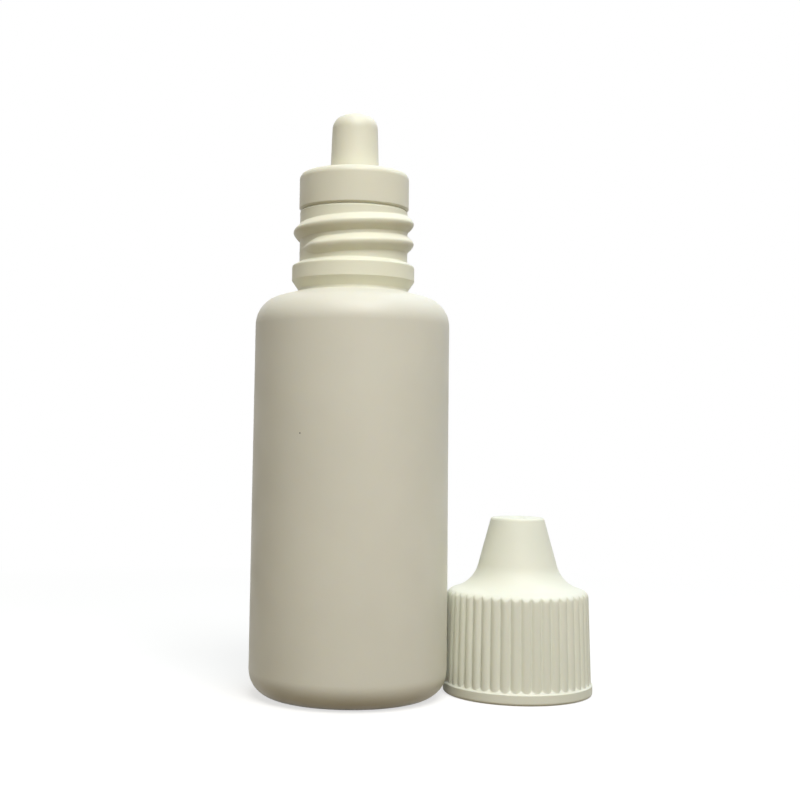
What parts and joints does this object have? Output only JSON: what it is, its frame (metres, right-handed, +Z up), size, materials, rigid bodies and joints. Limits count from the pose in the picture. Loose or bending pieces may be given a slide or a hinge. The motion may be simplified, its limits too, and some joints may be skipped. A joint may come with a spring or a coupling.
{
  "type": "eye drop bottle",
  "caption": "Small round squeeze bottle with a threaded neck, a dropper plug pushed into it, and a reeded conical screw cap standing beside it.",
  "frame": {"origin": "on the bottle's axis, in the plane of the standing ring that the bottle stands on", "axes": "+Z up along the bottle's axis towards the nozzle, +X towards the side where the cap stands, the viewer looks along +Y"},
  "size_m": [0.0422, 0.0243, 0.0715],
  "materials": {
    "bottle_ldpe": "satin cream low-density polyethylene, blow moulded, slightly translucent",
    "plug_ldpe": "satin off-white low-density polyethylene, injection moulded",
    "cap_hdpe": "satin white high-density polyethylene, injection moulded"
  },
  "bodies": {
    "bottle": {"bottle": "bottle_ldpe"},
    "dropper_plug": {"dropper_plug": "plug_ldpe"},
    "cap": {"screw_cap": "cap_hdpe"}
  },
  "joints": [
    {"name": "plug_pull", "type": "slide", "parent": "bottle", "child": "dropper_plug", "axis": [0, 0, 1], "range_m": [0, 0.014]},
    {"name": "cap_lift", "type": "slide", "parent": "bottle", "child": "cap", "axis": [0, 0, 1], "range_m": [0, 0.09]}
  ]
}
